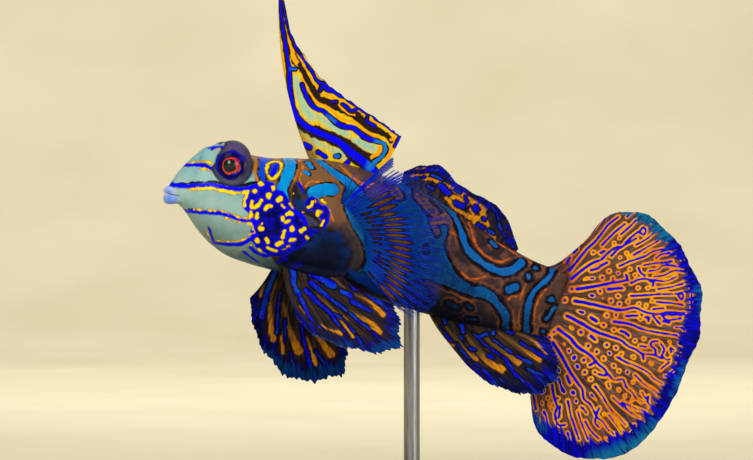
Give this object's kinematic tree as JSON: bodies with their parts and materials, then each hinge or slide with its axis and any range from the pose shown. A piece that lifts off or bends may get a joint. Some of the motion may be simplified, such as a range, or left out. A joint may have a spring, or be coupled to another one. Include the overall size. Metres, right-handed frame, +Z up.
{
  "type": "mandarinfish",
  "caption": "Life-size mandarinfish with spread fins and a tall first dorsal spine, swimming nose up, held on a rod and a flat base.",
  "frame": {"origin": "centre of the stand base's underside", "axes": "+X from the head to the tail, along the object's longest side; +Y from the fish's left flank to its right; +Z up, out of the base"},
  "size_m": [0.0729, 0.034, 0.0721],
  "materials": {
    "face_skin": "wet gloss, smooth scaleless skin",
    "fish_skin": "wet gloss, smooth scaleless skin",
    "eye": "wet gloss",
    "dorsal_sail": "wet gloss membrane",
    "fin_membrane": "wet gloss membrane",
    "pectoral_membrane": "wet gloss membrane, clear between the rays",
    "stand_wood": "satin dark stain",
    "stand_steel": "brushed"
  },
  "bodies": {
    "root": {"head": "face_skin", "trunk": "fish_skin", "tail": "fish_skin", "eye_left": "eye", "eye_right": "eye", "dorsal_fin_first": "dorsal_sail", "dorsal_fin_second": "fin_membrane", "anal_fin": "fin_membrane", "caudal_fin": "fin_membrane", "pectoral_fin_left": "pectoral_membrane", "pectoral_fin_right": "pectoral_membrane", "pelvic_fin_left": "fin_membrane", "pelvic_fin_right": "fin_membrane", "stand_base": "stand_wood", "stand_rod": "stand_steel"}
  },
  "joints": []
}
